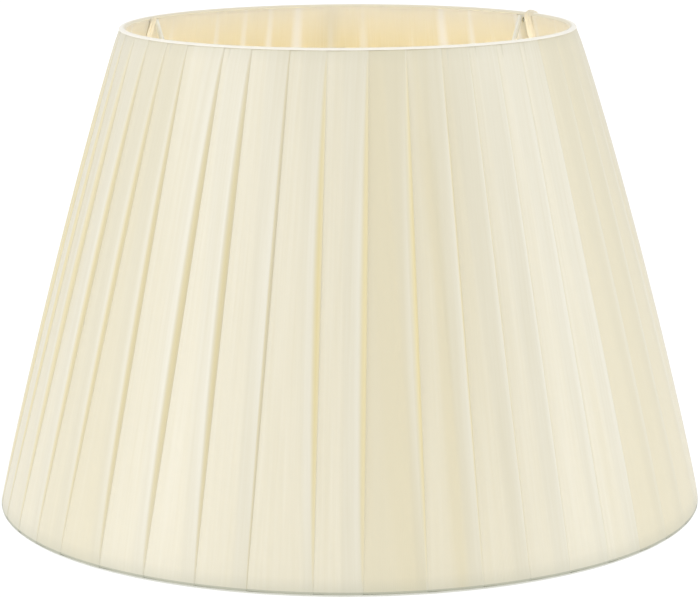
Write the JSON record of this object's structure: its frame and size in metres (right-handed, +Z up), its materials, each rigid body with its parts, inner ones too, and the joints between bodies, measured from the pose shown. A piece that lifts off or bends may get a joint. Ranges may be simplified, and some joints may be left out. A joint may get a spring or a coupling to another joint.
{
  "type": "lamp shade",
  "caption": "Empire lamp shade: wire rings, struts and a dropped three-arm spider, with a knife-pleated satin cover, lining and rolled trims.",
  "frame": {"origin": "centre of the bottom rim's lowest plane, on the shade's axis", "axes": "+Z up along the shade's axis, -Y towards the front, +X to the right seen from the front"},
  "size_m": [0.3498, 0.3492, 0.2364],
  "materials": {
    "cover_satin": "cream satin, silky sheen",
    "lining_cloth": "matt lining cloth, warm cream",
    "trim_cloth": "rolled ivory satin strip",
    "neatener_cloth": "gathered lining cloth",
    "white_wire": "white powder coat",
    "plated_wire": "zinc plated steel wire"
  },
  "bodies": {
    "root": {"pleated_cover": "cover_satin", "lining": "lining_cloth", "top_trim": "trim_cloth", "bottom_trim": "trim_cloth", "neatener_1": "neatener_cloth", "neatener_2": "neatener_cloth", "neatener_3": "neatener_cloth", "top_ring": "white_wire", "bottom_ring": "plated_wire", "strut_1": "plated_wire", "strut_2": "plated_wire", "strut_3": "plated_wire", "strut_4": "plated_wire", "strut_5": "plated_wire", "strut_6": "plated_wire", "spider_arm_1": "white_wire", "spider_arm_2": "white_wire", "spider_arm_3": "white_wire", "fitter_ring": "white_wire"}
  },
  "joints": []
}
